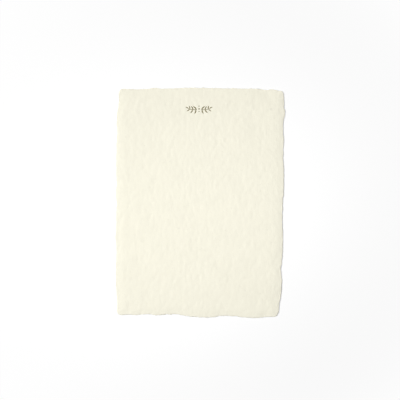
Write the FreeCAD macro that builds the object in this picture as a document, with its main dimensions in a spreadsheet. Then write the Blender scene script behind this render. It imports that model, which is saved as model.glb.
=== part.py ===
import FreeCAD, Part
import math
import os

# A flat greeting card: one sheet of handmade cotton paper, lying with its writing side up.
# The sheet was formed in a mould, so it has no cut edge. All four sides are deckled: they
# wander in and out, and thin down to a soft lip that stands just clear of the table.
# X runs across the card, Y up the card as it is read, and Z out of the writing side.
# The origin is in the resting face, under the middle of the card's own box.

# Driving sizes: name, value in millimetres (a plain share where the words say so), meaning.
SIZES = [
    ("card_width", 122.0, "across the sheet, over its furthest points"),
    ("card_height", 166.0, "up the sheet, over its furthest points"),
    ("sheet_thickness", 0.8, "from the resting face to the writing face"),
    ("lip_thickness", 0.34, "thickness of the deckle's lip, where the pulp ran out"),
    ("lip_rise", 0.16, "height of the lip's underside over the table"),
    ("shoulder_inset", 2.4, "from the lip in to the rim's shoulder"),
    ("face_inset", 7.0, "from the lip in to the edge of the flat writing face"),
    ("haunch_inset", 2.8, "from the lip in to the haunch, the shoulder of the underside"),
    ("foot_inset", 8.0, "from the lip in to the edge of the flat resting face"),
    ("corner_bottom_right", 4.5, "radius of that corner"),
    ("corner_top_right", 2.8, "radius of that corner"),
    ("corner_top_left", 3.0, "radius of that corner"),
    ("corner_bottom_left", 2.4, "radius of that corner"),
    ("deckle_depth", 1.0, "share by which every reading of the deckle below is scaled"),
    ("inner_wander", 0.5, "share of the deckle's wander that the flat faces' edges keep"),
]

# The deckle of each side, read in the counterclockwise direction. The first number is the
# place, as a share of half the side from its middle. The second is how far the lip lies
# in from the card's box there, in millimetres.
BOTTOM_DECKLE = [
    (-0.82, 2.4), (-0.70, 2.5), (-0.61, 2.8), (-0.53, 2.0), (-0.36, 2.8), (-0.26, 2.6),
    (-0.17, 1.4), (0.00, 0.8), (0.16, 0.5), (0.23, 1.5), (0.31, 1.5), (0.49, 0.8),
    (0.65, 0.0), (0.74, 0.5), (0.84, 0.9),
]
RIGHT_DECKLE = [
    (-0.91, 4.2), (-0.80, 2.9), (-0.67, 2.3), (-0.59, 2.6), (-0.45, 1.9), (-0.30, 1.4),
    (-0.13, 1.7), (0.00, 1.5), (0.22, 0.7), (0.39, 1.2), (0.53, 1.1), (0.60, 0.9),
    (0.67, 1.3), (0.72, 0.8), (0.785, 0.0), (0.85, 0.5), (0.89, 0.3), (0.93, 0.7),
]
TOP_DECKLE = [
    (-0.92, 2.3), (-0.85, 1.2), (-0.79, 1.8), (-0.69, 1.1), (-0.53, 0.6), (-0.30, 0.5),
    (0.00, 0.2), (0.13, 0.0), (0.25, 0.4), (0.38, 0.7), (0.57, 0.4), (0.66, 0.9),
    (0.87, 0.9),
]
LEFT_DECKLE = [
    (-0.93, 2.5), (-0.82, 1.7), (-0.67, 0.8), (-0.61, 1.0), (-0.54, 0.7), (-0.34, 0.4),
    (-0.23, 0.4), (-0.17, 0.8), (-0.10, 0.1), (-0.04, 0.6), (0.08, 0.3), (0.20, 0.1),
    (0.29, 0.0), (0.38, 0.3), (0.55, 0.2), (0.70, 0.2), (0.79, 0.6), (0.92, 1.2),
]

# Where each rounded corner is touched by the outline, in degrees round its arc.
CORNER_ANGLES = (10.0, 45.0, 80.0)

# The rim's slope is a parabola that runs out level at the flat face's edge, above and below.
# These are the heights where it passes over the shoulder and under the haunch.
SHOULDER_HEIGHT = (
    "sizes.sheet_thickness - (sizes.sheet_thickness - sizes.lip_rise - sizes.lip_thickness)"
    " * (1 - sizes.shoulder_inset / sizes.face_inset)^2"
)
HAUNCH_HEIGHT = "sizes.lip_rise * (1 - sizes.haunch_inset / sizes.foot_inset)^2"


def size_sheet(doc):
    """The spreadsheet of driving sizes, one named cell for each."""
    sheet = doc.addObject("Spreadsheet::Sheet", "sizes")
    for row, (alias, value, meaning) in enumerate(SIZES, start=1):
        sheet.set(f"A{row}", alias)
        sheet.set(f"B{row}", str(value))
        sheet.set(f"C{row}", meaning)
        sheet.setAlias(f"B{row}", alias)
    doc.recompute()
    return sheet


def sides(sheet):
    """Each side in turn: its direction, its outward direction, and half its length and the
    half of the card across it, its deckle, and the radius of the corner at its end."""
    half_width = sheet.card_width / 2
    half_height = sheet.card_height / 2
    east = FreeCAD.Vector(1, 0, 0)
    north = FreeCAD.Vector(0, 1, 0)
    return [
        (east, -north, half_width, half_height, BOTTOM_DECKLE, sheet.corner_bottom_right),
        (north, east, half_height, half_width, RIGHT_DECKLE, sheet.corner_top_right),
        (-east, north, half_width, half_height, TOP_DECKLE, sheet.corner_top_left),
        (-north, -east, half_height, half_width, LEFT_DECKLE, sheet.corner_bottom_left),
    ]


def outline(sheet, draw_in=0.0, wander=1.0):
    """The closed curve of the deckle, or a curve that runs draw_in inside it and keeps only
    a share of its wander. Every such curve has its points in step with the others."""
    card_sides = sides(sheet)
    insets = []
    for *_, deckle, _radius in card_sides:
        mean = sum(inset for _place, inset in deckle) / len(deckle)
        insets.append([
            draw_in + sheet.deckle_depth * (mean + wander * (inset - mean))
            for _place, inset in deckle
        ])
    points = []
    for index, (along, outward, half_length, half_across, deckle, radius) in enumerate(card_sides):
        for (place, _inset), inset in zip(deckle, insets[index]):
            points.append(along * (place * (half_length - draw_in))
                          + outward * (half_across - inset))
        # The corner is an arc tangent to this side's last inset and the next one's first.
        next_inset = insets[(index + 1) % len(card_sides)][0]
        centre = (along * (half_length - next_inset - radius)
                  + outward * (half_across - insets[index][-1] - radius))
        for angle in CORNER_ANGLES:
            turn = math.radians(angle)
            points.append(centre + (outward * math.cos(turn) + along * math.sin(turn)) * radius)
    curve = Part.BSplineCurve()
    curve.interpolate(Points=points, PeriodicFlag=True)
    return curve


def section(body, name, height, curve):
    """A sketch that holds one closed curve, level, at a height named in the size sheet."""
    level = [f for f in body.Origin.OriginFeatures if f.Role == "XY_Plane"][0]
    sketch = body.newObject("Sketcher::SketchObject", name)
    sketch.AttachmentSupport = [(level, "")]
    sketch.MapMode = "FlatFace"
    sketch.setExpression("AttachmentOffset.Base.z", height)
    sketch.addGeometry(curve, False)
    return sketch


def loft(body, name, first, others):
    """A smooth solid through level sections, fused to the body."""
    feature = body.newObject("PartDesign::AdditiveLoft", name)
    feature.Profile = first
    feature.Sections = others
    feature.Ruled = False
    return feature


def card_sheet(doc, sheet):
    """The whole card: the lip all round, the writing side above it and the underside below."""
    body = doc.addObject("PartDesign::Body", "card_sheet")
    body.Label = "card_sheet"
    deckle = outline(sheet)
    shoulder = outline(sheet, sheet.shoulder_inset, (1 + sheet.inner_wander) / 2)
    haunch = outline(sheet, sheet.haunch_inset, (1 + sheet.inner_wander) / 2)
    writing_edge = outline(sheet, sheet.face_inset, sheet.inner_wander)
    resting_edge = outline(sheet, sheet.foot_inset, sheet.inner_wander)

    lip_outline = section(body, "lip_outline", "sizes.lip_rise", deckle)
    lip = body.newObject("PartDesign::Pad", "lip")
    lip.Profile = lip_outline
    lip.setExpression("Length", "sizes.lip_thickness")
    doc.recompute()

    loft(
        body, "writing_side",
        section(body, "lip_top", "sizes.lip_rise + sizes.lip_thickness", deckle),
        [section(body, "shoulder", SHOULDER_HEIGHT, shoulder),
         section(body, "writing_edge", "sizes.sheet_thickness", writing_edge)],
    )
    doc.recompute()
    loft(
        body, "underside",
        section(body, "lip_bottom", "sizes.lip_rise", deckle),
        [section(body, "haunch", HAUNCH_HEIGHT, haunch),
         section(body, "resting_edge", "0 * sizes.lip_rise", resting_edge)],
    )
    doc.recompute()
    return body


def check(doc, parts):
    """Stops unless every object was built and every part is one valid solid."""
    for item in doc.Objects:
        if "Invalid" in item.State or "Error" in item.State:
            raise RuntimeError(f"{item.Label} was not built: {item.State}")
    for part in parts:
        if part.Shape.isNull() or not part.Shape.isValid() or len(part.Shape.Solids) != 1:
            raise RuntimeError(f"{part.Label} is not one valid solid")


def main():
    doc = FreeCAD.newDocument("greeting_card")
    sheet = size_sheet(doc)
    parts = [card_sheet(doc, sheet)]
    doc.recompute()
    check(doc, parts)
    os.makedirs("parts", exist_ok=True)
    for part in parts:
        part.Shape.exportStep(f"parts/{part.Label}.step")
        box = part.Shape.BoundBox
        print(f"{part.Label}: volume {part.Shape.Volume:.1f} mm3,"
              f" X {box.XMin:.2f} to {box.XMax:.2f}, Y {box.YMin:.2f} to {box.YMax:.2f},"
              f" Z {box.ZMin:.2f} to {box.ZMax:.2f}, {len(part.Shape.Faces)} faces")


main()
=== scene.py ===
import bpy
import numpy as np
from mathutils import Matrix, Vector


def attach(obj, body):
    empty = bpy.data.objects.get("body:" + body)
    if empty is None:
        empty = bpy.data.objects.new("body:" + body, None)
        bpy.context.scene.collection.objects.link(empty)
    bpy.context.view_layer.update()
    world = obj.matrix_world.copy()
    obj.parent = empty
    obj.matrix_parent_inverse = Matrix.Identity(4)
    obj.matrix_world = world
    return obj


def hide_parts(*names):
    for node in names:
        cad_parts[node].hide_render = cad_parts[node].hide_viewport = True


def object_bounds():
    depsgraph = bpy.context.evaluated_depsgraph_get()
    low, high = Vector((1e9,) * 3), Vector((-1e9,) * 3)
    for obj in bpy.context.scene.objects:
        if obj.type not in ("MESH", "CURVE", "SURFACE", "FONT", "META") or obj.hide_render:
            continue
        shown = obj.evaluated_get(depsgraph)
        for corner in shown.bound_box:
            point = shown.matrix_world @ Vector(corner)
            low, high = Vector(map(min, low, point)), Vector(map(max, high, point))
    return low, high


bl_info = {
    "name": "Deckled greeting card",
    "version": (1, 0, 0),
    "blender": (4, 5, 0),
    "location": "3D Viewport > Sidebar > Card",
    "description": "A flat greeting card of handmade cotton paper with a pressed sprig",
    "category": "Add Mesh",
}

# A flat greeting card: one thick sheet of handmade cotton paper with a deckle all round, its
# writing side up, and a small sprig printed and pressed into it near the top edge.
# Shapes are worked out in millimetres, and turned into metres as they go into a mesh.

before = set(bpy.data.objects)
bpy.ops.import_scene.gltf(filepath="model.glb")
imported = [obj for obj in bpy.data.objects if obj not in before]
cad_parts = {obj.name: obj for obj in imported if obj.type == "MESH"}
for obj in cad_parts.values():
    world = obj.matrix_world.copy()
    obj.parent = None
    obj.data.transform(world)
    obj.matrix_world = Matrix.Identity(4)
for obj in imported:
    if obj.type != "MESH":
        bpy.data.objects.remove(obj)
CAD_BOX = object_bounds()

MM = 0.001
SHEET_NODE = "card_sheet"
BODY = "root"

HALF_WIDTH = (CAD_BOX[1].x - CAD_BOX[0].x) / 2 / MM
HALF_HEIGHT = (CAD_BOX[1].y - CAD_BOX[0].y) / 2 / MM
THICKNESS = (CAD_BOX[1].z - CAD_BOX[0].z) / MM

# The sheet's rim, as the solid has it. Every place well inside counts as the same flat face.
LIP_BOTTOM = 0.16
LIP_TOP = 0.50
FACE_INSET = 7.0
FOOT_INSET = 8.0
WELL_INSIDE = 2 * FOOT_INSET

# The lip's points are the solid's at its upper height, within a tolerance. Two that agree
# to this many decimals are one.
LIP_HEIGHT_TOLERANCE = 0.002
LIP_DECIMALS = 3

# The rim's finer form: the lip's edge is rounded, and the slope flattens just inside it.
LIP_ROUNDING = 0.28
FLAT_FOOT = 0.07
FLAT_FOOT_WIDTH = 1.2
RELIEF_FADE = 0.6

# The lip is uneven. Its lower height, its upper height and the share by which it is more or
# less rounded each have: how far they wander, how many random places go round the card at
# a broad and at a fine scale, and a seed. They wander no further than the limit times that.
# The side is rough. All this fades inwards, and small clumps of pulp follow it.
LIP_BOTTOM_WANDER = (0.04, 150, 520, 61)
LIP_TOP_WANDER = (0.05, 180, 600, 63)
LIP_ROUNDING_WANDER = (0.25, 260, 700, 65)
WANDER_LIMIT = 2.0
LIP_ROUGHNESS = 0.04
LIP_GRAINS = 1200
UNEVENNESS_POWER = 6
CLUMP_HEIGHT = 0.022
CLUMP_SIZE = 0.9
CLUMP_REACH = 1.6

# The underside's marks are larger by this factor and mostly clear of the table. Where the
# sheet rests it is pressed flat, a hair above the table's own surface.
UNDER_SMOOTHNESS = 2.4
UNDER_CLEARANCE = 0.025
RESTING_HEIGHT = 0.003

# The ragged edge wanders in and out of the smooth outline at several scales: how many
# random places go round the card, and the share of the raggedness that they carry.
RAGGED_SCALES = ((190, 0.8), (330, 0.6), (760, 0.36), (1500, 0.2))

# The other seeds of the random numbers. Noises made together count on from their seed.
RAGGED_SEED = 3
WRITING_SEED = 11
CLUMP_SEED = 31
RESTING_SEED = 51
LIP_GRAIN_SEED = 70
FIBRE_SEED = 90

# The grid of the sheet's surface. An inner rectangle carries a grid of lines, and rows of
# points run round it out to the lip. The lines are closest round the sprig, and the points
# round the lip. The underside keeps one line in COARSE_LINES. A row's stride is how many
# of the lip's points it passes from one of its own points to the next.
RIM_WIDTH = 7.5
LINE_STEP = (0.52, 0.72)
SPRIG_LINE_STEP = 0.28
COARSE_LINES = 4
UNDER_STRIDES = (2, 4, 4, 8, 8)
TOP_STRIDES = (1, 1, 1, 2, 2, 2, 2, 2, 2, 2, 2, 2)
LIP_ROWS = 7
ROW_CROWDING = 1.25
RING_SAMPLES = 4000

# Insets are measured to an outline with this stride, for so many places at a time.
OUTLINE_STRIDE = 4
BLOCK_SIZE = 2000

# The sprig stands near the top of the card, a little left of its middle.
SPRIG_CENTRE = (-0.8, 67.7)
SPRIG_REACH = (11.2, 4.6)
PRESS_MARGIN = 0.12
PRESS_WALL = 0.4

# How the photograph frames the card: its width in pixels, its scale in pixels per
# millimetre, and the pixel of the card's middle.
PHOTO_WIDTH = 400
PHOTO_SCALE = 1.388
PHOTO_CARD_MIDDLE = (200.15, 202.82)
LENS = 85.0
SENSOR_WIDTH = 36.0


def spline_weights(share):
    """The four weights of a uniform cubic B-spline at a share of its span."""
    return (
        (1 - share) ** 3 / 6,
        (3 * share**3 - 6 * share**2 + 4) / 6,
        (-3 * share**3 + 3 * share**2 + 3 * share + 1) / 6,
        share**3 / 6,
    )


# A cubic B-spline blends this many random numbers each way, and evens them out to about
# this share of their spread. A lattice of them reaches this many half cards each way from
# the middle. Two noises added up have unit spread again when they are scaled by the last.
SPLINE_ORDER = 4
SPLINE_SPREAD = 0.69
LATTICE_REACH = 1.5
PAIR_SCALE = np.sqrt(0.5)


def lattice_noise(x, y, cell_x, cell_y, seed):
    """Smooth noise over the plane, of about unit spread: random numbers at the crossings of
    a lattice with cells of cell_x by cell_y, each point blending the sixteen nearest
    crossings with cubic B-spline weights."""
    reach_x, reach_y = LATTICE_REACH * HALF_WIDTH, LATTICE_REACH * HALF_HEIGHT
    cells = int(2 * reach_x / cell_x), int(2 * reach_y / cell_y)
    shape = tuple(count + SPLINE_ORDER + 1 for count in cells)
    lattice = np.random.default_rng(seed).standard_normal(shape)
    across, up = (x + reach_x) / cell_x, (y + reach_y) / cell_y
    column, row = np.floor(across).astype(int), np.floor(up).astype(int)
    weights_x, weights_y = spline_weights(across - column), spline_weights(up - row)
    height = sum(
        weights_x[i] * weights_y[j] * lattice[column + i, row + j]
        for i in range(SPLINE_ORDER)
        for j in range(SPLINE_ORDER)
    )
    return height / SPLINE_SPREAD**2


def ring_noise(share, cells, seed):
    """Smooth noise round a closed ring, of about unit spread: random numbers at evenly
    spaced places, each share of the way round blending the four nearest."""
    places = np.random.default_rng(seed).standard_normal(cells)
    along = share * cells
    cell = np.floor(along).astype(int)
    weights = spline_weights(along - cell)
    height = sum(weights[i] * places[(cell + i) % cells] for i in range(SPLINE_ORDER))
    return height / SPLINE_SPREAD


def smooth_step(share):
    """Runs from 0 to 1 as the share does, level at both ends: 3s^2 - 2s^3."""
    share = np.clip(share, 0.0, 1.0)
    return share * share * (3 - 2 * share)


def lip_ring():
    """The solid's lip as a closed ring of points: the vertices at the lip's upper height,
    without doubles, in the order of their bearing from the card's middle."""
    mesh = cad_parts[SHEET_NODE].data
    places = np.empty(len(mesh.vertices) * 3, np.float32)
    mesh.vertices.foreach_get("co", places)
    places = places.reshape(-1, 3).astype(float) / MM
    on_lip = np.abs(places[:, 2] - LIP_TOP) < LIP_HEIGHT_TOLERANCE
    ring = np.unique(np.round(places[on_lip, :2], LIP_DECIMALS), axis=0)
    return ring[np.argsort(np.arctan2(ring[:, 1], ring[:, 0]))]


def on_ring(ring, share):
    """Places at the given shares of a closed ring's length. Each stretch between two ring
    points is a Hermite cubic, whose tangent at a point is that of the parabola through the
    point and its two neighbours."""
    step = np.linalg.norm(np.roll(ring, -1, axis=0) - ring, axis=1)[:, None]
    slope = (np.roll(ring, -1, axis=0) - ring) / step
    before = np.roll(step, 1, axis=0)
    tangent = (np.roll(slope, 1, axis=0) * step + slope * before) / (step + before)
    reach = np.concatenate([[0.0], np.cumsum(step)])
    place = (share % 1.0) * reach[-1]
    start = np.clip(np.searchsorted(reach, place, side="right") - 1, 0, len(ring) - 1)
    end = (start + 1) % len(ring)
    t = ((place - reach[start]) / step[start, 0])[:, None]
    return (
        (2 * t**3 - 3 * t**2 + 1) * ring[start]
        + (t**3 - 2 * t**2 + t) * step[start] * tangent[start]
        + (3 * t**2 - 2 * t**3) * ring[end]
        + (t**3 - t**2) * step[start] * tangent[end]
    )


def distance_to_ring(points, ring):
    """The least distance from each point to the straight stretches of a closed ring, worked
    out for a block of points at a time."""
    stretch = np.roll(ring, -1, axis=0) - ring
    squares = (stretch**2).sum(axis=1)

    def block_distance(block):
        offset = block[:, None, :] - ring[None, :, :]
        share = np.clip((offset * stretch).sum(axis=2) / squares, 0.0, 1.0)
        apart = offset - share[:, :, None] * stretch
        return np.sqrt((apart**2).sum(axis=2).min(axis=1))

    blocks = np.array_split(points, 1 + len(points) // BLOCK_SIZE)
    return np.concatenate([block_distance(block) for block in blocks])


def stretch_lines(start, end, step):
    """Evenly spaced lines from start up to end, at about the step, in a number of gaps that
    the coarse lines divide. The last line is left to the next stretch."""
    gaps = COARSE_LINES * max(1, round((end - start) / step / COARSE_LINES))
    return np.linspace(start, end, gaps + 1)[:-1]


def grid_lines(half, step, centre, reach):
    """Lines from -half to half at the given step, but closer within reach of centre."""
    stretches = [
        (-half, centre - reach, step),
        (centre - reach, centre + reach, SPRIG_LINE_STEP),
        (centre + reach, half, step),
    ]
    return np.concatenate([stretch_lines(*stretch) for stretch in stretches] + [[half]])


def with_middles(row):
    """A closed row of places with one more in the middle between each two."""
    middles = (row + np.roll(row, -1, axis=0)) / 2
    return np.stack([row, middles], axis=1).reshape(-1, row.shape[1])


class Deckle:
    """The card's outline and its ragged edge, and how far any place lies in from them."""

    def __init__(self, raggedness):
        """Lays out the inner grid's lines, and spreads the stations round the outline in
        step with the grid's border, side by side, from the middle of one rounded corner to
        the next, with one more station between each two."""
        halves = HALF_WIDTH - RIM_WIDTH, HALF_HEIGHT - RIM_WIDTH
        lines = [grid_lines(*one) for one in zip(halves, LINE_STEP, SPRIG_CENTRE, SPRIG_REACH)]
        self.columns, self.rows = lines
        ring = lip_ring()
        dense = on_ring(ring, np.arange(RING_SAMPLES) / RING_SAMPLES)
        leans = [(-1, -1), (1, -1), (1, 1), (-1, 1)]
        corners = [np.argmax(dense @ np.array(lean)) / RING_SAMPLES for lean in leans]
        corners.append(corners[0] + 1.0)
        across, up = ((one - one[0]) / np.ptp(one) for one in lines)
        sides = [across[:-1], up[:-1], 1 - across[:0:-1], 1 - up[:0:-1]]
        share = np.concatenate([
            start + (end - start) * side
            for start, end, side in zip(corners, corners[1:], sides)
        ])
        gap = (np.roll(share, -1) - share) % 1.0
        self.share = np.stack([share, share + gap / 2], axis=1).ravel()
        self.line = on_ring(ring, self.share)
        along = np.roll(self.line, -1, axis=0) - np.roll(self.line, 1, axis=0)
        along /= np.linalg.norm(along, axis=1)[:, None]
        self.outward = np.stack([along[:, 1], -along[:, 0]], axis=1)
        wander = sum(
            weight * ring_noise(self.share, places, RAGGED_SEED + index)
            for index, (places, weight) in enumerate(RAGGED_SCALES)
        )
        self.edge = self.line + self.outward * (raggedness * wander - LIP_ROUNDING)[:, None]
        self.below = self.uneven(*LIP_BOTTOM_WANDER)
        self.above = self.uneven(*LIP_TOP_WANDER)
        self.rounding = LIP_ROUNDING * (1 + self.uneven(*LIP_ROUNDING_WANDER))

    def uneven(self, reach, broad, fine, seed):
        """Noise round the card at a broad and a fine scale, of about the given spread."""
        wander = ring_noise(self.share, broad, seed) + ring_noise(self.share, fine, seed + 1)
        return reach * np.clip(wander * PAIR_SCALE, -WANDER_LIMIT, WANDER_LIMIT)

    def lip(self, turn, place=slice(None)):
        """Where the lip's rounded side stands at some or all stations: how far out of the
        edge, and how high. It is half an ellipse, and the turn runs from -pi/2 below, by 0
        at its furthest, to pi/2 above."""
        low, high = LIP_BOTTOM + self.below[place], LIP_TOP + self.above[place]
        reach = self.rounding[place] * np.cos(turn)
        return reach, (low + high) / 2 + (high - low) / 2 * np.sin(turn)

    def inset(self, x, y):
        """How far each place lies in from the outline, in millimetres. Places well inside
        the flat faces all get the same, large inset."""
        inset = np.full(x.shape, WELL_INSIDE)
        near = (np.abs(x) > HALF_WIDTH - WELL_INSIDE) | (np.abs(y) > HALF_HEIGHT - WELL_INSIDE)
        places = np.stack([x[near], y[near]], axis=1)
        inset[near] = distance_to_ring(places, self.line[::OUTLINE_STRIDE])
        return inset


# The relief that the felt leaves in the paper: the cells of each of its noises across and up
# the sheet, in millimetres, how far two sets of marks lean as they run up the sheet, and
# how far those marks bend.
MARK_CELL = (1.2, 1.6)
COUNTER_MARK_CELL = (1.4, 1.9)
TOOTH_CELL = (1.3, 1.5)
BROAD_CELL = (4.5, 8.0)
BEND_CELL = (9.0, 14.0)
MARK_LEAN = 0.10
COUNTER_MARK_LEAN = -0.10
MARK_BEND = 0.5


def felt_relief(x, y, paper, seed):
    """The paper's own relief: two sets of short felt marks that run up the sheet and lean a
    little to either side, a rounder tooth, and broad gentle unevenness, each a lattice
    noise."""
    bend = MARK_BEND * lattice_noise(x, y, *BEND_CELL, seed)
    marks = lattice_noise(x + bend + MARK_LEAN * y, y, *MARK_CELL, seed + 1)
    marks += lattice_noise(x - bend + COUNTER_MARK_LEAN * y, y, *COUNTER_MARK_CELL, seed + 2)
    tooth = lattice_noise(x, y, *TOOTH_CELL, seed + 3)
    broad = lattice_noise(x, y, *BROAD_CELL, seed + 4)
    return (
        paper.felt_height * PAIR_SCALE * marks
        + paper.tooth_height * tooth
        + paper.broad_height * broad
    ) / MM


def press_depth(x, y, strokes, press):
    """How deep the sprig is pressed in at each place: the full depth within a stroke and a
    narrow margin, and a smooth wall out from there."""
    depth = np.zeros(x.shape)
    near = (np.abs(x - SPRIG_CENTRE[0]) < SPRIG_REACH[0]) & (
        np.abs(y - SPRIG_CENTRE[1]) < SPRIG_REACH[1]
    )
    spots = np.concatenate([path for path, _ in strokes])
    radii = np.concatenate([half_width for _, half_width in strokes])
    places = np.stack([x[near], y[near]], axis=1)
    apart = np.linalg.norm(places[:, None, :] - spots[None, :, :], axis=2) - radii
    wall_share = (apart.min(axis=1) - PRESS_MARGIN) / PRESS_WALL
    depth[near] = press.depth / MM * smooth_step(1 - wall_share)
    return depth


def writing_height(x, y, inset, paper, press, strokes):
    """Height of the writing side: the lip, a parabola that runs out level at the flat face,
    less a hollow that decays inwards and levels the slope just inside the lip, with the
    relief, the pressed sprig, and small clumps of pulp, a fine noise that decays inwards."""
    share = np.clip(inset / FACE_INSET, 0.0, 1.0)
    slope = (THICKNESS - LIP_TOP) * (1 - (1 - share) ** 2)
    hollow = FLAT_FOOT * inset / FLAT_FOOT_WIDTH * np.exp(-inset / FLAT_FOOT_WIDTH)
    clumps = CLUMP_HEIGHT * lattice_noise(x, y, CLUMP_SIZE, CLUMP_SIZE, CLUMP_SEED)
    relief = felt_relief(x, y, paper, WRITING_SEED) + clumps * np.exp(-inset / CLUMP_REACH)
    relief *= smooth_step(inset / RELIEF_FADE)
    return LIP_TOP + slope - hollow + relief - press_depth(x, y, strokes, press)


def resting_height(x, y, inset, paper):
    """Height of the underside: a parabola from the lip down to the table, with a relief
    that is smoother than the writing side's, and flat where it touches the table."""
    share = np.clip(inset / FOOT_INSET, 0.0, 1.0)
    relief = felt_relief(x / UNDER_SMOOTHNESS, y / UNDER_SMOOTHNESS, paper, RESTING_SEED)
    relief = (relief + UNDER_CLEARANCE) * smooth_step(share)
    return np.maximum(LIP_BOTTOM * (1 - share) ** 2 + relief, RESTING_HEIGHT)


def border(numbers):
    """The border of a grid of vertex numbers, counterclockwise from its first corner."""
    return np.concatenate([
        numbers[0, :-1], numbers[:-1, -1], numbers[-1, :0:-1], numbers[:0:-1, 0],
    ])


def grid_quads(numbers):
    """The quads of a grid of vertex numbers, facing the side from which it is numbered
    counterclockwise."""
    corners = [numbers[:-1, :-1], numbers[:-1, 1:], numbers[1:, 1:], numbers[1:, :-1]]
    return np.stack(corners, axis=-1).reshape(-1, 4)


def band_quads(first, second):
    """The quads between closed rows of vertex numbers, each a last axis of its array."""
    corners = [first, np.roll(first, -1, axis=-1), np.roll(second, -1, axis=-1), second]
    return np.stack(corners, axis=-1).reshape(-1, 4)


def seam_triangles(coarse, fine):
    """The triangles between a closed row of vertex numbers and one with twice as many."""
    middle, after = fine[1::2], np.roll(fine[::2], -1)
    following = np.roll(coarse, -1)
    return np.concatenate([
        np.stack([coarse, following, middle], axis=-1),
        np.stack([coarse, middle, fine[::2]], axis=-1),
        np.stack([following, after, middle], axis=-1),
    ])


def joined(first, second):
    """The faces between two closed rows of vertex numbers. One row may have twice as many
    as the other."""
    if len(first) == len(second):
        return band_quads(first, second)
    if len(first) < len(second):
        return seam_triangles(first, second)
    return seam_triangles(second, first)[:, ::-1]


class Surface:
    """Vertices and faces gathered for one mesh, in millimetres."""

    def __init__(self):
        self.points = []
        self.faces = []
        self.count = 0

    def add_points(self, x, y, z):
        """Adds an array of places and returns their vertex numbers, in the same shape."""
        numbers = np.arange(self.count, self.count + x.size).reshape(x.shape)
        self.points.append(np.stack([x.ravel(), y.ravel(), z.ravel()], axis=1))
        self.count += x.size
        return numbers

    def add_faces(self, faces):
        """Adds faces, each a row of vertex numbers."""
        self.faces += faces.tolist()

    def add_row(self, line, height, previous):
        """Adds a closed row of places and joins it to the row before."""
        row = self.add_points(line[:, 0], line[:, 1], height)
        self.add_faces(joined(previous, row))
        return row

    def add_tubes(self, tubes, ends):
        """Closes tubes whose vertex numbers run along each one and then round it: bands
        along the tube, and a fan of triangles round the pole at either end."""
        self.add_faces(band_quads(tubes[..., :-1, :], tubes[..., 1:, :]))
        first, last = tubes[..., 0, :], tubes[..., -1, :]
        start, end = (np.broadcast_to(ends[..., [i]], first.shape) for i in (0, 1))
        start_fan = np.stack([start, np.roll(first, -1, axis=-1), first], axis=-1)
        end_fan = np.stack([end, last, np.roll(last, -1, axis=-1)], axis=-1)
        self.add_faces(np.concatenate([start_fan, end_fan]).reshape(-1, 3))

    def make(self, name, material):
        """Turns the surface into a smooth-shaded object that sits at the origin."""
        mesh = bpy.data.meshes.new(name)
        mesh.from_pydata((np.concatenate(self.points) * MM).tolist(), [], self.faces)
        mesh.polygons.foreach_set("use_smooth", np.ones(len(mesh.polygons), bool))
        mesh.update()
        mesh.validate()
        piece = bpy.data.objects.new(name, mesh)
        bpy.context.scene.collection.objects.link(piece)
        mesh.materials.append(material)
        return piece


def rim_rows(strides):
    """Each row of a rim: its stride, and how far in from the lip it lies as a share of the
    rim, which is s to a power and so crowds the rows at the lip."""
    shares = (np.arange(1, len(strides) + 1) / (len(strides) + 1)) ** ROW_CROWDING
    return list(zip(strides, shares))


def sheet_surface(deckle, paper, press, strokes):
    """The whole sheet as one closed surface. From the middle of the underside outwards:
    a coarse grid, the underside's rim, the rounded lip, the writing side's rim and its
    fine grid. Each row round the sheet is the lip's ring drawn in towards the grid, and
    keeps a share of the lip's unevenness that falls off as a power of 1 - s."""
    surface = Surface()
    x, y = np.meshgrid(deckle.columns, deckle.rows)
    inner = with_middles(np.stack([border(x), border(y)], axis=1))

    def row_line(stride, share):
        return deckle.edge[::stride] + (inner - deckle.edge)[::stride] * share

    def under(x, y):
        return resting_height(x, y, deckle.inset(x, y), paper)

    def over(x, y):
        return writing_height(x, y, deckle.inset(x, y), paper, press, strokes)

    coarse_x, coarse_y = x[::COARSE_LINES, ::COARSE_LINES], y[::COARSE_LINES, ::COARSE_LINES]
    coarse = surface.add_points(coarse_x, coarse_y, under(coarse_x, coarse_y))
    surface.add_faces(grid_quads(coarse.T))
    row = border(coarse)
    for stride, share in reversed(rim_rows(UNDER_STRIDES)):
        line = row_line(stride, share)
        height = under(*line.T) + deckle.below[::stride] * (1 - share) ** UNEVENNESS_POWER
        row = surface.add_row(line, height, row)

    for step, turn in enumerate(np.linspace(-np.pi / 2, np.pi / 2, LIP_ROWS)):
        reach, height = deckle.lip(turn)
        rough = ring_noise(deckle.share, LIP_GRAINS, LIP_GRAIN_SEED + step) * np.cos(turn)
        line = deckle.edge + deckle.outward * (reach + LIP_ROUGHNESS * rough)[:, None]
        row = surface.add_row(line, height, row)

    for stride, share in rim_rows(TOP_STRIDES):
        line = row_line(stride, share)
        height = over(*line.T) + deckle.above[::stride] * (1 - share) ** UNEVENNESS_POWER
        row = surface.add_row(line, height, row)
    fine = surface.add_points(x, y, over(x, y))
    surface.add_faces(joined(row, border(fine)))
    surface.add_faces(grid_quads(fine))
    return surface


def turned(direction, degrees):
    """A direction in the plane, turned counterclockwise."""
    turn = np.radians(degrees)
    return np.array([
        direction[0] * np.cos(turn) - direction[1] * np.sin(turn),
        direction[0] * np.sin(turn) + direction[1] * np.cos(turn),
    ])


def between(ends, share):
    """The value at a share of the way from the first end to the second."""
    return ends[0] + (ends[1] - ends[0]) * share


def on_curve(start, control, end, t):
    """Places at shares t of a quadratic curve from start to end, drawn towards its control
    point: (1 - t)^2, 2t(1 - t) and t^2 of the three."""
    return (1 - t) ** 2 * start + 2 * t * (1 - t) * control + t**2 * end


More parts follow.
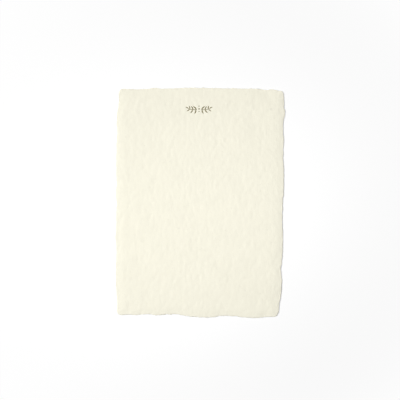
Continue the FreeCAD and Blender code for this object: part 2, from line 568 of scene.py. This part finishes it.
# One arm of the sprig, in millimetres from the sprig's centre: its stem's three control
# points, the stem's half width at its foot and its tip, and its leaves.
STEM = ((1.5, -0.3), (4.8, -1.3), (8.0, 0.4))
STEM_HALF_WIDTH = (0.26, 0.17)
STEM_BLUNTNESS = 16
STEM_STATIONS = 40
LEAF_PAIRS = (0.06, 0.42, 0.78)
LEAF_LENGTH = (3.6, 2.5)
LEAF_HALF_WIDTH = (0.46, 0.36)
LEAF_FULLNESS = 0.8
LEAF_SPREAD = 56.0
LEAF_BEND = 20.0
LOWER_LEAF_SHIFT = 0.04
END_LEAF_FOOT = 0.95
LEAF_STATIONS = 17
BERRIES = ((0.0, 0.0, 0.55), (0.0, 1.9, 0.38), (0.0, -1.9, 0.38))
BERRY_STATIONS = 9


def leaf_stroke(foot, direction, length, half_width, bend):
    """One leaf: a path that bows to a side by the bend in degrees, as wide at each share t
    of its length as the sine of pi times t to the power of its fullness."""
    control = foot + turned(direction, bend) * length / 2
    t = np.linspace(0.0, 1.0, LEAF_STATIONS)
    path = on_curve(foot, control, foot + direction * length, t[:, None])
    return path, half_width * np.sin(np.pi * t**LEAF_FULLNESS)


def arm_strokes():
    """The stem, the leaf pairs and the end leaf of the sprig's right arm. The stem's ends
    are rounded, as the root of 1 less a high power of the distance from its middle."""
    start, control, end = (np.array(point) for point in STEM)
    t = np.linspace(0.0, 1.0, STEM_STATIONS)
    rounding = np.sqrt(1 - np.abs(2 * t - 1) ** STEM_BLUNTNESS)
    path = on_curve(start, control, end, t[:, None])
    strokes = [(path, between(STEM_HALF_WIDTH, t) * rounding)]

    def place(share):
        heading = (1 - share) * (control - start) + share * (end - control)
        return on_curve(start, control, end, share), heading / np.linalg.norm(heading)

    for pair in LEAF_PAIRS:
        size = between(LEAF_LENGTH, pair), between(LEAF_HALF_WIDTH, pair)
        for side, shift in ((1, 0.0), (-1, LOWER_LEAF_SHIFT)):
            foot, heading = place(pair + shift)
            direction = turned(heading, side * LEAF_SPREAD)
            strokes.append(leaf_stroke(foot, direction, *size, side * LEAF_BEND))
    foot, heading = place(END_LEAF_FOOT)
    strokes.append(leaf_stroke(foot, heading, LEAF_LENGTH[1], LEAF_HALF_WIDTH[1], LEAF_BEND))
    return strokes


def berry_stroke(x, y, radius):
    """A round berry, as a short level stroke whose half width is that of a circle."""
    turn = np.linspace(0.0, np.pi, BERRY_STATIONS)
    path = np.stack([x - radius * np.cos(turn), np.full(BERRY_STATIONS, y)], axis=1)
    return path, radius * np.sin(turn)


def sprig_strokes():
    """Every stroke of the sprig in the card's frame, each a path and its half widths: the
    right arm, its mirror image and the berries between them."""
    centre = np.array(SPRIG_CENTRE)
    right = arm_strokes()
    left = [(path * (-1, 1), half_width) for path, half_width in right]
    berries = [berry_stroke(*berry) for berry in BERRIES]
    return [(path + centre, half_width) for path, half_width in right + left + berries]


# A stroke's section: its points, how near to an oblong it is, and the half width in
# millimetres below which it has run out.
STROKE_SIDES = 12
STROKE_SQUARENESS = 0.6
STROKE_TIP = 0.02


def add_stroke(surface, path, half_width, ink_thickness, ground):
    """One stroke of ink as a closed tube, its section a flat superellipse that rises from
    the ground below: across is the half width times the cosine, and up is the ink's
    thickness times the sine, each to the power of the squareness."""
    along = np.gradient(path, axis=0)
    along /= np.linalg.norm(along, axis=1)[:, None]
    across = np.stack([-along[:, 1], along[:, 0]], axis=1)
    turn = np.arange(STROKE_SIDES) / STROKE_SIDES * 2 * np.pi
    round_it = np.stack([np.cos(turn), np.sin(turn)])
    wide, high = np.sign(round_it) * np.abs(round_it) ** STROKE_SQUARENESS
    inside = half_width > STROKE_TIP
    spread = half_width[inside, None] * wide[None, :]
    x = path[inside, 0:1] + across[inside, 0:1] * spread
    y = path[inside, 1:2] + across[inside, 1:2] * spread
    z = ground(x, y) + ink_thickness * high[None, :]
    tube = surface.add_points(x, y, z)
    tips = path[[0, -1]].T
    surface.add_tubes(tube, surface.add_points(*tips, ground(*tips)))


# The loose fibres. Those of the edge stand out of the lip, and those of the face lie on the
# writing side. Lengths and thicknesses are in millimetres, and turns in radians. A length is
# given by its least, the mean of what is added to that, and its most. T holds the stations
# of a fibre as shares of its length.
EDGE_FIBRES = 2600
FACE_FIBRES = 480
FIBRE_SIDES = 4
FIBRE_STATIONS = 7
T = np.linspace(0.0, 1.0, FIBRE_STATIONS)
FIBRE_HALF_WIDTH = (0.006, 0.015)
FIBRE_END = 0.35
EDGE_FIBRE_LENGTH = (0.2, 0.22, 1.5)
FACE_FIBRE_LENGTH = (0.7, 0.6, 3.2)
EDGE_FIBRE_SPREAD = 0.75
EDGE_FIBRE_TURN = 1.3
FIBRE_BEND = 1.0
FIBRE_ROOT = 0.08
FIBRE_RISE = 0.16
FIBRE_DROOP = 0.35
FACE_FIBRE_LIFT = 0.03


def fibre_paths(rng, start, heading, least, mean, most):
    """The level paths of many fibres at once, with their headings, lengths and half widths.
    Many are short and a few long, by an exponential. Each runs from its start and turns as
    it goes, by b t + c t^2 for a random b and c."""
    length = np.minimum(least + rng.exponential(mean, len(start)), most)[:, None]
    half_width = rng.uniform(*FIBRE_HALF_WIDTH, len(start))[:, None]
    bend, sway = rng.normal(0.0, FIBRE_BEND, (2, len(start), 1))
    turn = heading[:, None] + bend * T + sway * T**2
    step = length / (FIBRE_STATIONS - 1)
    x = start[:, :1] + np.cumsum(np.cos(turn) * step, axis=1)
    y = start[:, 1:] + np.cumsum(np.sin(turn) * step, axis=1)
    return x, y, turn, length, half_width


def add_fibres(surface, x, y, z, turn, half_width):
    """Fibres as closed tubes round their paths, each a diamond in section that narrows to
    its ends as the root of the sine of pi times t."""
    narrowing = FIBRE_END + (1 - FIBRE_END) * np.sqrt(np.clip(np.sin(np.pi * T), 0.0, 1.0))
    radius = (half_width * narrowing)[:, :, None]
    round_it = np.arange(FIBRE_SIDES) / FIBRE_SIDES * 2 * np.pi
    sideways, upwards = radius * np.cos(round_it), radius * np.sin(round_it)
    tubes = surface.add_points(
        x[:, :, None] - np.sin(turn)[:, :, None] * sideways,
        y[:, :, None] + np.cos(turn)[:, :, None] * sideways,
        z[:, :, None] + upwards,
    )
    tips = [0, -1]
    beyond = np.array([-1.0, 1.0]) * FIBRE_END * half_width
    ends = surface.add_points(
        x[:, tips] + beyond * np.cos(turn[:, tips]),
        y[:, tips] + beyond * np.sin(turn[:, tips]),
        z[:, tips],
    )
    surface.add_tubes(tubes, ends)


def edge_fibres(surface, deckle, rng):
    """Fibres rooted in the lip's rounded side at any height, which droop as they reach out
    and lie on the table where they come down to it."""
    place = rng.integers(0, len(deckle.edge), EDGE_FIBRES)
    reach, foot = deckle.lip(rng.uniform(-EDGE_FIBRE_TURN, EDGE_FIBRE_TURN, EDGE_FIBRES), place)
    outward = deckle.outward[place]
    start = deckle.edge[place] + outward * (reach - FIBRE_ROOT)[:, None]
    heading = np.arctan2(outward[:, 1], outward[:, 0])
    heading += rng.normal(0.0, EDGE_FIBRE_SPREAD, EDGE_FIBRES)
    x, y, turn, length, half_width = fibre_paths(rng, start, heading, *EDGE_FIBRE_LENGTH)
    rise = rng.normal(0.0, FIBRE_RISE, (EDGE_FIBRES, 1))
    z = foot[:, None] + length * (rise * T - FIBRE_DROOP * T**2 / 2)
    add_fibres(surface, x, y, np.maximum(z, half_width), turn, half_width)


def face_fibres(surface, deckle, paper, press, strokes, rng):
    """Fibres that lie on the writing side, sunk at their ends and clear of the sprig."""
    reach = np.array([HALF_WIDTH, HALF_HEIGHT]) - RIM_WIDTH / 2
    start = rng.uniform(-reach, reach, (FACE_FIBRES, 2))
    heading = rng.uniform(0.0, 2 * np.pi, FACE_FIBRES)
    x, y, turn, _, half_width = fibre_paths(rng, start, heading, *FACE_FIBRE_LENGTH)
    from_sprig = np.abs(np.stack([x, y], axis=-1) - SPRIG_CENTRE) - SPRIG_REACH
    clear = (from_sprig.max(axis=-1) > 0).all(axis=1)
    x, y, turn, half_width = x[clear], y[clear], turn[clear], half_width[clear]
    lift = FACE_FIBRE_LIFT * np.sin(np.pi * T) - half_width / 2
    z = writing_height(x, y, deckle.inset(x, y), paper, press, strokes) + lift
    add_fibres(surface, x, y, z, turn, half_width)


def feed(tree, value, socket):
    """Links a value that is a socket into another, or sets it there where it is plain."""
    if isinstance(value, bpy.types.NodeSocket):
        tree.links.new(value, socket)
    else:
        socket.default_value = value


def add_node(tree, kind, inputs=None, **settings):
    """A new node of a kind in a node tree, with its settings and what feeds its inputs."""
    node = tree.nodes.new(kind)
    for name, value in settings.items():
        setattr(node, name, value)
    for name, value in (inputs or {}).items():
        feed(tree, value, node.inputs[name])
    return node


NODE_SPACING = (220, 260)
NODE_ROWS = 4


def arrange(tree):
    """Lays a tree's nodes out in columns, in the order in which they were made."""
    for index, node in enumerate(tree.nodes):
        column, row = divmod(index, NODE_ROWS)
        node.location = (NODE_SPACING[0] * column, -NODE_SPACING[1] * row)


def noise(tree, coordinates, size, detail=2.0, roughness=0.5, stretch=(1.0, 1.0, 1.0)):
    """The value of a noise whose marks are about the given size in metres. A stretch below
    1 draws them out along that axis."""
    mapping = add_node(tree, "ShaderNodeMapping", {"Vector": coordinates, "Scale": stretch})
    texture = add_node(tree, "ShaderNodeTexNoise", {
        "Vector": mapping.outputs["Vector"], "Scale": 1.0 / size,
        "Detail": detail, "Roughness": roughness,
    })
    return texture.outputs["Fac"]


def math(tree, operation, first, second=0.0):
    """A math node over two sockets or numbers."""
    return add_node(tree, "ShaderNodeMath", {0: first, 1: second}, operation=operation).outputs[0]


def spread(tree, value, low, high, to_low=0.0, to_high=1.0):
    """The value carried from one range to another, and held at the ends."""
    ends = {"From Min": low, "From Max": high, "To Min": to_low, "To Max": to_high}
    return add_node(tree, "ShaderNodeMapRange", {"Value": value, **ends}).outputs["Result"]


def mixed(tree, share, first, second):
    """The first colour mixed with the second by a share. Each is a colour or a socket."""
    node = add_node(tree, "ShaderNodeMix", {"Factor": share}, data_type="RGBA")
    sockets = [socket for socket in node.inputs if socket.type == "RGBA"]
    for colour, socket in zip((first, second), sockets):
        feed(tree, colour, socket)
    return [socket for socket in node.outputs if socket.type == "RGBA"][0]


def shaded(colour, factor):
    """A plain colour made lighter or darker, with full alpha."""
    return (*(min(1.0, channel * factor) for channel in colour), 1.0)


# The sizes of the marks in the paper's finish, how they are drawn out up the sheet, and the
# ranges of their noises that show. A noise lies about its middle value.
SURFACE_GROUP = "paper_surface"
NOISE_MIDDLE = 0.5
CLOUD_SIZE = 14 * MM
STREAK_SIZE = 1.3 * MM
STREAK_STRETCH = (1.0, 0.38, 1.0)
MOTTLE_RANGE = (0.36, 0.64)
SWIRL_SIZE = 4 * MM
STRAND_WIDTH = 0.009
STRAND_PATCH_SIZE = 2.2 * MM
STRAND_PATCH_RANGE = (0.58, 0.66)
GRAIN_SIZE = 0.42 * MM
GRAIN_DETAIL = 3.0
GRAIN_ROUGHNESS = 0.6
GRAIN_STRETCH = (1.0, 0.6, 1.0)
MAT_SIZE = 0.9 * MM
MAT_STRETCH = (1.0, 0.5, 1.0)


def paper_surface_group():
    """The look of the sheet's surface, for the paper and for the ink that lies on it. It
    takes object coordinates and puts out a mottle, a mask of stray fibres and a fine tooth
    for a bump."""
    group = bpy.data.node_groups.new(SURFACE_GROUP, "ShaderNodeTree")
    group.interface.new_socket("Coordinates", in_out="INPUT", socket_type="NodeSocketVector")
    for name in ("Mottle", "Fibres", "Tooth"):
        group.interface.new_socket(name, in_out="OUTPUT", socket_type="NodeSocketFloat")
    coordinates = add_node(group, "NodeGroupInput").outputs["Coordinates"]
    outputs = add_node(group, "NodeGroupOutput").inputs

    # Pulp gathers in clouds, and the felt draws it out in short streaks up the sheet. The
    # mottle is half the sum of the two.
    clouds = noise(group, coordinates, CLOUD_SIZE)
    streaks = noise(group, coordinates, STREAK_SIZE, stretch=STREAK_STRETCH)
    mottle = math(group, "MULTIPLY", math(group, "ADD", clouds, streaks), 0.5)
    group.links.new(spread(group, mottle, *MOTTLE_RANGE), outputs["Mottle"])

    # A fibre is where a swirling noise crosses its middle value, and only in some patches.
    swirl = noise(group, coordinates, SWIRL_SIZE, detail=1.0)
    off_middle = math(group, "ABSOLUTE", math(group, "SUBTRACT", swirl, NOISE_MIDDLE))
    strand = spread(group, off_middle, 0.0, STRAND_WIDTH, 1.0, 0.0)
    patches = noise(group, coordinates, STRAND_PATCH_SIZE, detail=0.0)
    place = spread(group, patches, *STRAND_PATCH_RANGE)
    group.links.new(math(group, "MULTIPLY", strand, place), outputs["Fibres"])

    # The tooth is a matted grain finer than half a millimetre.
    grain = noise(group, coordinates, GRAIN_SIZE, GRAIN_DETAIL, GRAIN_ROUGHNESS, GRAIN_STRETCH)
    mat = noise(group, coordinates, MAT_SIZE, detail=1.0, stretch=MAT_STRETCH)
    group.links.new(math(group, "ADD", grain, mat), outputs["Tooth"])
    arrange(group)
    return group


def surface_looks(tree):
    """The paper surface's group placed in a material, on object coordinates."""
    coordinates = add_node(tree, "ShaderNodeTexCoord").outputs["Object"]
    group = bpy.data.node_groups.get(SURFACE_GROUP) or paper_surface_group()
    looks = add_node(tree, "ShaderNodeGroup", {"Coordinates": coordinates}, node_tree=group)
    return coordinates, looks.outputs


def set_finish(tree, shader, looks, colour, roughness, gloss, grain_depth):
    """Gives a shader its colour and gloss, its roughness from the ends of a range by the
    mottle, and the paper's tooth as a bump of the given depth in metres."""
    bump = add_node(tree, "ShaderNodeBump", {
        "Strength": 1.0, "Distance": grain_depth, "Height": looks["Tooth"],
    })
    finish = {
        "Base Color": colour,
        "Roughness": spread(tree, looks["Mottle"], 0.0, 1.0, *roughness),
        "Specular IOR Level": gloss,
        "Normal": bump.outputs["Normal"],
    }
    for name, value in finish.items():
        feed(tree, value, shader.inputs[name])
    arrange(tree)


def new_material(name):
    """A node material, its tree and its shader."""
    material = bpy.data.materials.new(name)
    material.use_nodes = True
    tree = material.node_tree
    return material, tree, tree.nodes["Principled BSDF"]


# The paper's finish: how light its mottle, its fibres and its one speck are against its
# own colour, how much of a fibre's and the speck's shade shows, and how rough it is. The
# speck's place and its inner and outer radius are in millimetres.
PAPER_MATERIAL = "handmade_cotton_paper"
MOTTLE_SHADES = (0.985, 1.012)
FIBRE_SHADE = 0.84
FIBRE_SHARE = 0.5
SPECK_SHADE = 0.80
SPECK_SHARE = 0.4
SPECK_PLACE = (51.0, 67.4)
SPECK_RADIUS = (0.45, 1.35)
PAPER_ROUGHNESS = (0.95, 0.88)
PAPER_GLOSS = 0.25


def paper_material(paper):
    """Cream cotton paper: a colour that clouds and streaks a little, stray fibres, one
    grey speck of husk in the pulp, and a matted tooth. It is made only once."""
    if PAPER_MATERIAL in bpy.data.materials:
        return bpy.data.materials[PAPER_MATERIAL]
    material, tree, shader = new_material(PAPER_MATERIAL)
    coordinates, looks = surface_looks(tree)
    dark, light = (shaded(paper.colour, shade) for shade in MOTTLE_SHADES)
    colour = mixed(tree, looks["Mottle"], dark, light)
    fibre = math(tree, "MULTIPLY", looks["Fibres"], FIBRE_SHARE)
    colour = mixed(tree, fibre, colour, shaded(paper.colour, FIBRE_SHADE))
    centre = [length * MM for length in (*SPECK_PLACE, THICKNESS)]
    inputs = {0: coordinates, 1: centre}
    away = add_node(tree, "ShaderNodeVectorMath", inputs, operation="DISTANCE")
    inner, outer = (radius * MM for radius in SPECK_RADIUS)
    speck = spread(tree, away.outputs["Value"], inner, outer, SPECK_SHARE, 0.0)
    colour = mixed(tree, speck, colour, shaded(paper.colour, SPECK_SHADE))
    set_finish(tree, shader, looks, colour, PAPER_ROUGHNESS, PAPER_GLOSS, paper.grain_depth)
    return material


# The ink's finish: where the paper's tooth stands high enough to show through it, how much
# of the paper's colour shows there at most and how shaded, how rough the ink is, and the
# share of the paper's grain that it keeps.
SHOW_THROUGH_RANGE = (1.05, 1.3)
SHOW_THROUGH_SHARE = 0.4
SHOW_THROUGH_SHADE = 0.75
INK_ROUGHNESS = (0.5, 0.7)
INK_GLOSS = 0.3
INK_GRAIN = 0.5


def ink_material(press, paper):
    """Taupe letterpress ink: thin enough that the paper's marks show through it."""
    material, tree, shader = new_material("letterpress_ink")
    _, looks = surface_looks(tree)
    thin = spread(tree, looks["Tooth"], *SHOW_THROUGH_RANGE, 0.0, SHOW_THROUGH_SHARE)
    paper_colour = shaded(paper.colour, SHOW_THROUGH_SHADE)
    colour = mixed(tree, thin, shaded(press.colour, 1.0), paper_colour)
    grain_depth = INK_GRAIN * paper.grain_depth
    set_finish(tree, shader, looks, colour, INK_ROUGHNESS, INK_GLOSS, grain_depth)
    return material


def seen_share(tree):
    """1 for rays from the camera, or off a gloss or through a clear thing, and 0 for the
    rays that carry light."""
    path = add_node(tree, "ShaderNodeLightPath").outputs
    gloss_or_clear = math(tree, "MAXIMUM", path["Is Glossy Ray"], path["Is Transmission Ray"])
    return math(tree, "MAXIMUM", path["Is Camera Ray"], gloss_or_clear)


# The floor's width, and how far from its middle it passes into plain white, in metres.
FLOOR_SIZE = 6.0
FLOOR_FADE = (0.08, 0.22)


def floor_material(stage):
    """A white floor that shows the card's shadow. What the eye, a gloss or a clear thing
    sees of it is lifted a little, and passes into plain white further out."""
    material, tree, _ = new_material("white_floor")
    tree.nodes.clear()
    diffuse = add_node(tree, "ShaderNodeBsdfDiffuse", {"Color": (*stage.floor_colour, 1.0)})
    seen = seen_share(tree)
    strength = math(tree, "MULTIPLY", seen, stage.floor_lift)
    lift = add_node(tree, "ShaderNodeEmission", {"Strength": strength})
    white = add_node(tree, "ShaderNodeEmission")
    near = add_node(tree, "ShaderNodeAddShader", {0: diffuse.outputs[0], 1: lift.outputs[0]})
    coordinates = add_node(tree, "ShaderNodeTexCoord").outputs["Object"]
    away = add_node(tree, "ShaderNodeVectorMath", {0: coordinates}, operation="LENGTH")
    far = spread(tree, away.outputs["Value"], *FLOOR_FADE)
    mix = add_node(tree, "ShaderNodeMixShader", {
        0: math(tree, "MULTIPLY", far, seen), 1: near.outputs[0], 2: white.outputs[0],
    })
    add_node(tree, "ShaderNodeOutputMaterial", {"Surface": mix.outputs[0]})
    arrange(tree)
    return material


def light_world(stage):
    """An even pale light from all round, seen as plain white."""
    world = bpy.data.worlds.new("studio")
    bpy.context.scene.world = world
    world.use_nodes = True
    tree = world.node_tree
    background = tree.nodes["Background"].inputs
    extra = math(tree, "MULTIPLY", seen_share(tree), 1.0 - stage.world_level)
    feed(tree, (1.0, 1.0, 1.0, 1.0), background["Color"])
    feed(tree, math(tree, "ADD", extra, stage.world_level), background["Strength"])
    arrange(tree)


# The key lamp stands far off on the left, and the fill lamp close over the middle, in metres.
KEY_PLACE = (-1.58, 0.42, 1.18)
KEY_TARGET = (-0.03, -0.008, 0.0)
KEY_SIZE = (0.5, 0.5)
FILL_PLACE = (0.017, -0.012, 0.255)
FILL_TARGET = (0.017, -0.012, 0.0)
FILL_SIZE = (0.37, 0.12)
FILL_TURN = 18.0


def look_at(thing, place, target):
    """Puts a lamp or camera at a place and turns it to face a target."""
    thing.location = place
    thing.rotation_euler = (Vector(target) - Vector(place)).to_track_quat("-Z", "Y").to_euler()


def add_lamp(name, place, target, size, level, turn=0.0):
    """A soft oblong lamp, turned in its own plane by a number of degrees, and as strong as
    lights a level white surface at its target to the given level. Its power is the level
    times pi squared and the distance squared, over the cosine of its slant."""
    lamp = bpy.data.lights.new(name, "AREA")
    lamp.shape = "RECTANGLE"
    lamp.size, lamp.size_y = size
    apart = Vector(place) - Vector(target)
    lamp.energy = level * np.pi**2 * apart.length_squared * apart.length / apart.z
    thing = bpy.data.objects.new(name, lamp)
    thing.visible_camera = False
    bpy.context.scene.collection.objects.link(thing)
    look_at(thing, place, target)
    thing.rotation_euler.rotate_axis("Z", np.radians(turn))


def add_camera():
    """A long lens straight above the card, framed as the photograph frames it."""
    span = PHOTO_WIDTH / PHOTO_SCALE * MM
    middle = PHOTO_WIDTH / 2
    x = (middle - PHOTO_CARD_MIDDLE[0]) / PHOTO_SCALE * MM
    y = (PHOTO_CARD_MIDDLE[1] - middle) / PHOTO_SCALE * MM
    data = bpy.data.cameras.new("camera")
    data.lens = LENS
    data.sensor_width = SENSOR_WIDTH
    camera = bpy.data.objects.new("camera", data)
    camera.location = (x, y, THICKNESS * MM + span * LENS / SENSOR_WIDTH)
    bpy.context.scene.collection.objects.link(camera)
    bpy.context.scene.camera = camera


class PaperSettings(bpy.types.PropertyGroup):
    """The sheet of paper."""

    colour: bpy.props.FloatVectorProperty(
        name="Paper colour", description="Colour of the cotton pulp",
        subtype="COLOR", size=3, min=0.0, max=1.0, default=(0.948, 0.920, 0.778),
    )
    felt_height: bpy.props.FloatProperty(
        name="Felt marks", description="Height of the marks that the felt leaves",
        subtype="DISTANCE", unit="LENGTH", default=0.025 * MM,
    )
    tooth_height: bpy.props.FloatProperty(
        name="Tooth", description="Height of the paper's round tooth",
        subtype="DISTANCE", unit="LENGTH", default=0.010 * MM,
    )
    broad_height: bpy.props.FloatProperty(
        name="Unevenness", description="Height of the sheet's broad unevenness",
        subtype="DISTANCE", unit="LENGTH", default=0.010 * MM,
    )
    grain_depth: bpy.props.FloatProperty(
        name="Grain", description="Depth of the finest grain, as a bump",
        subtype="DISTANCE", unit="LENGTH", default=0.062 * MM,
    )
    raggedness: bpy.props.FloatProperty(
        name="Raggedness", description="How far the deckle's edge wanders off its line",
        subtype="DISTANCE", unit="LENGTH", default=0.11 * MM,
    )


class SprigSettings(bpy.types.PropertyGroup):
    """The printed sprig."""

    colour: bpy.props.FloatVectorProperty(
        name="Ink colour", description="Colour of the ink",
        subtype="COLOR", size=3, min=0.0, max=1.0, default=(0.180, 0.151, 0.058),
    )
    depth: bpy.props.FloatProperty(
        name="Press depth", description="How deep the sprig is pressed into the paper",
        subtype="DISTANCE", unit="LENGTH", default=0.05 * MM,
    )
    ink_thickness: bpy.props.FloatProperty(
        name="Ink thickness", description="How far the ink stands above the pressed paper",
        subtype="DISTANCE", unit="LENGTH", default=0.02 * MM,
    )


class StageSettings(bpy.types.PropertyGroup):
    """The floor and the lights."""

    floor_colour: bpy.props.FloatVectorProperty(
        name="Floor colour", description="Colour of the floor",
        subtype="COLOR", size=3, min=0.0, max=1.0, default=(0.92, 0.92, 0.92),
    )
    floor_lift: bpy.props.FloatProperty(
        name="Floor lift", description="White added to the floor where it is seen", default=0.14,
    )
    world_level: bpy.props.FloatProperty(
        name="World level", description="Level of the light from all round", default=0.12,
    )
    key_level: bpy.props.FloatProperty(
        name="Key level", description="Level of the key lamp's light", default=0.53,
    )
    fill_level: bpy.props.FloatProperty(
        name="Fill level", description="Level of the fill lamp's light", default=0.515,
    )


class CARD_OT_paper_sheet(bpy.types.Operator):
    """Makes the deckled sheet in place of the plain solid"""

    bl_idname = "card.paper_sheet"
    bl_label = "Paper sheet"

    def execute(self, context):
        paper, press = context.scene.card_paper, context.scene.card_sprig
        deckle = Deckle(paper.raggedness / MM)
        surface = sheet_surface(deckle, paper, press, sprig_strokes())
        sheet = surface.make("paper_sheet", paper_material(paper))
        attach(sheet, BODY)
        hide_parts(SHEET_NODE)
        return {"FINISHED"}


class CARD_OT_loose_fibres(bpy.types.Operator):
    """Adds the fine cotton fibres that stand out of the deckle and lie on the sheet"""

    bl_idname = "card.loose_fibres"
    bl_label = "Loose fibres"

    def execute(self, context):
        paper, press = context.scene.card_paper, context.scene.card_sprig
        deckle = Deckle(paper.raggedness / MM)
        rng = np.random.default_rng(FIBRE_SEED)
        surface = Surface()
        edge_fibres(surface, deckle, rng)
        face_fibres(surface, deckle, paper, press, sprig_strokes(), rng)
        fibres = surface.make("loose_fibres", paper_material(paper))
        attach(fibres, BODY)
        return {"FINISHED"}


class CARD_OT_printed_sprig(bpy.types.Operator):
    """Prints the sprig into the paper near the top of the card"""

    bl_idname = "card.printed_sprig"
    bl_label = "Printed sprig"

    def execute(self, context):
        paper, press = context.scene.card_paper, context.scene.card_sprig
        strokes = sprig_strokes()

        def ground(x, y):
            return writing_height(x, y, WELL_INSIDE, paper, press, strokes)

        surface = Surface()
        for path, half_width in strokes:
            add_stroke(surface, path, half_width, press.ink_thickness / MM, ground)
        sprig = surface.make("printed_sprig", ink_material(press, paper))
        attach(sprig, BODY)
        return {"FINISHED"}


class CARD_OT_stage(bpy.types.Operator):
    """Sets the card on a white floor under soft studio light, and adds the camera"""

    bl_idname = "card.stage"
    bl_label = "Stage"

    def execute(self, context):
        stage = context.scene.card_stage
        bpy.ops.mesh.primitive_plane_add(size=FLOOR_SIZE)
        floor = context.object
        floor.name = "floor"
        floor.data.materials.append(floor_material(stage))
        light_world(stage)
        add_lamp("key_lamp", KEY_PLACE, KEY_TARGET, KEY_SIZE, stage.key_level)
        add_lamp("fill_lamp", FILL_PLACE, FILL_TARGET, FILL_SIZE, stage.fill_level, FILL_TURN)
        add_camera()
        context.scene.view_settings.view_transform = "Standard"
        return {"FINISHED"}


class CARD_PT_sidebar(bpy.types.Panel):
    """Lists the card's pieces and their sizes and colours"""

    bl_label = "Greeting card"
    bl_idname = "CARD_PT_sidebar"
    bl_space_type = "VIEW_3D"
    bl_region_type = "UI"
    bl_category = "Card"

    def draw(self, context):
        for operator, settings in PIECES:
            box = self.layout.box()
            box.operator(operator.bl_idname)
            for name in SETTINGS[settings].__annotations__ if settings else ():
                box.prop(getattr(context.scene, settings), name)


# Each piece's operator, and the name in the scene of the settings that the panel shows with it.
PIECES = [
    (CARD_OT_paper_sheet, "card_paper"),
    (CARD_OT_loose_fibres, None),
    (CARD_OT_printed_sprig, "card_sprig"),
    (CARD_OT_stage, "card_stage"),
]
SETTINGS = {
    "card_paper": PaperSettings,
    "card_sprig": SprigSettings,
    "card_stage": StageSettings,
}
CLASSES = [*SETTINGS.values(), *(operator for operator, _ in PIECES), CARD_PT_sidebar]


def register():
    """Registers the classes and gives the scene its settings."""
    for kind in CLASSES:
        bpy.utils.register_class(kind)
    for name, kind in SETTINGS.items():
        setattr(bpy.types.Scene, name, bpy.props.PointerProperty(type=kind))


def unregister():
    """Takes the settings and the classes away again."""
    for name in SETTINGS:
        delattr(bpy.types.Scene, name)
    for kind in reversed(CLASSES):
        bpy.utils.unregister_class(kind)


def main():
    """Makes the pieces and the stage."""
    register()
    bpy.ops.card.paper_sheet()
    bpy.ops.card.loose_fibres()
    bpy.ops.card.printed_sprig()
    bpy.ops.card.stage()


if __name__ == "__main__":
    main()
